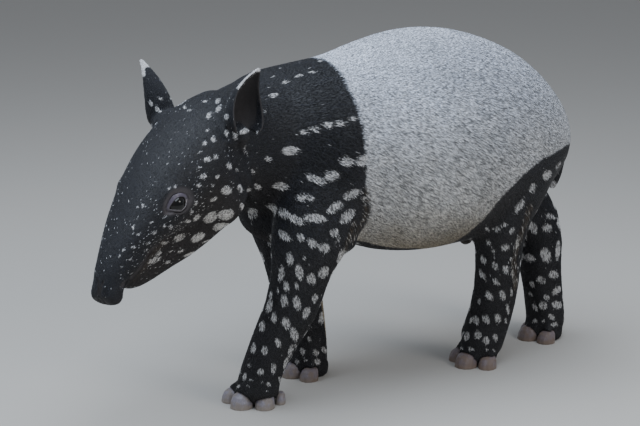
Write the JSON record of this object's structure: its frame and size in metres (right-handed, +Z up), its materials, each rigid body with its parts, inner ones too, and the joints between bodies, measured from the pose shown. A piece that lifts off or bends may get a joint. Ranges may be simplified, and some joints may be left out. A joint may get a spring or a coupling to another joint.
{
  "type": "malayan tapir calf",
  "caption": "Young malayan tapir walking with its head lowered and turned to its left, pale saddle on a dark, spotted body.",
  "frame": {"origin": "on the floor, under the middle of the animal's bounding box", "axes": "the animal walks towards -X, its left side is -Y, +Z is up"},
  "size_m": [1.0206, 0.406, 0.5981],
  "materials": {
    "black_coat": "short glossy blue-black fur, with pale spots and stripes that the solids don't show",
    "saddle_coat": "short grey-white fur of the saddle",
    "hoof_horn": "smooth purplish grey-brown horn, slightly worn",
    "eye_surface": "wet, nearly black brown eye"
  },
  "bodies": {
    "root": {"head": "black_coat", "proboscis": "black_coat", "lower_jaw": "black_coat", "neck": "black_coat", "trunk": "saddle_coat", "tail": "black_coat", "left_ear": "black_coat", "right_ear": "black_coat", "left_eye": "eye_surface", "right_eye": "eye_surface", "left_fore_thigh": "black_coat", "left_fore_shin": "black_coat", "left_fore_foot": "black_coat", "left_fore_second_toe_hoof": "hoof_horn", "left_fore_third_toe_hoof": "hoof_horn", "left_fore_fourth_toe_hoof": "hoof_horn", "left_fore_fifth_toe_hoof": "hoof_horn", "right_fore_thigh": "black_coat", "right_fore_shin": "black_coat", "right_fore_foot": "black_coat", "right_fore_second_toe_hoof": "hoof_horn", "right_fore_third_toe_hoof": "hoof_horn", "right_fore_fourth_toe_hoof": "hoof_horn", "right_fore_fifth_toe_hoof": "hoof_horn", "left_hind_thigh": "black_coat", "left_hind_shin": "black_coat", "left_hind_foot": "black_coat", "left_hind_second_toe_hoof": "hoof_horn", "left_hind_third_toe_hoof": "hoof_horn", "left_hind_fourth_toe_hoof": "hoof_horn", "right_hind_thigh": "black_coat", "right_hind_shin": "black_coat", "right_hind_foot": "black_coat", "right_hind_second_toe_hoof": "hoof_horn", "right_hind_third_toe_hoof": "hoof_horn", "right_hind_fourth_toe_hoof": "hoof_horn"}
  },
  "joints": []
}
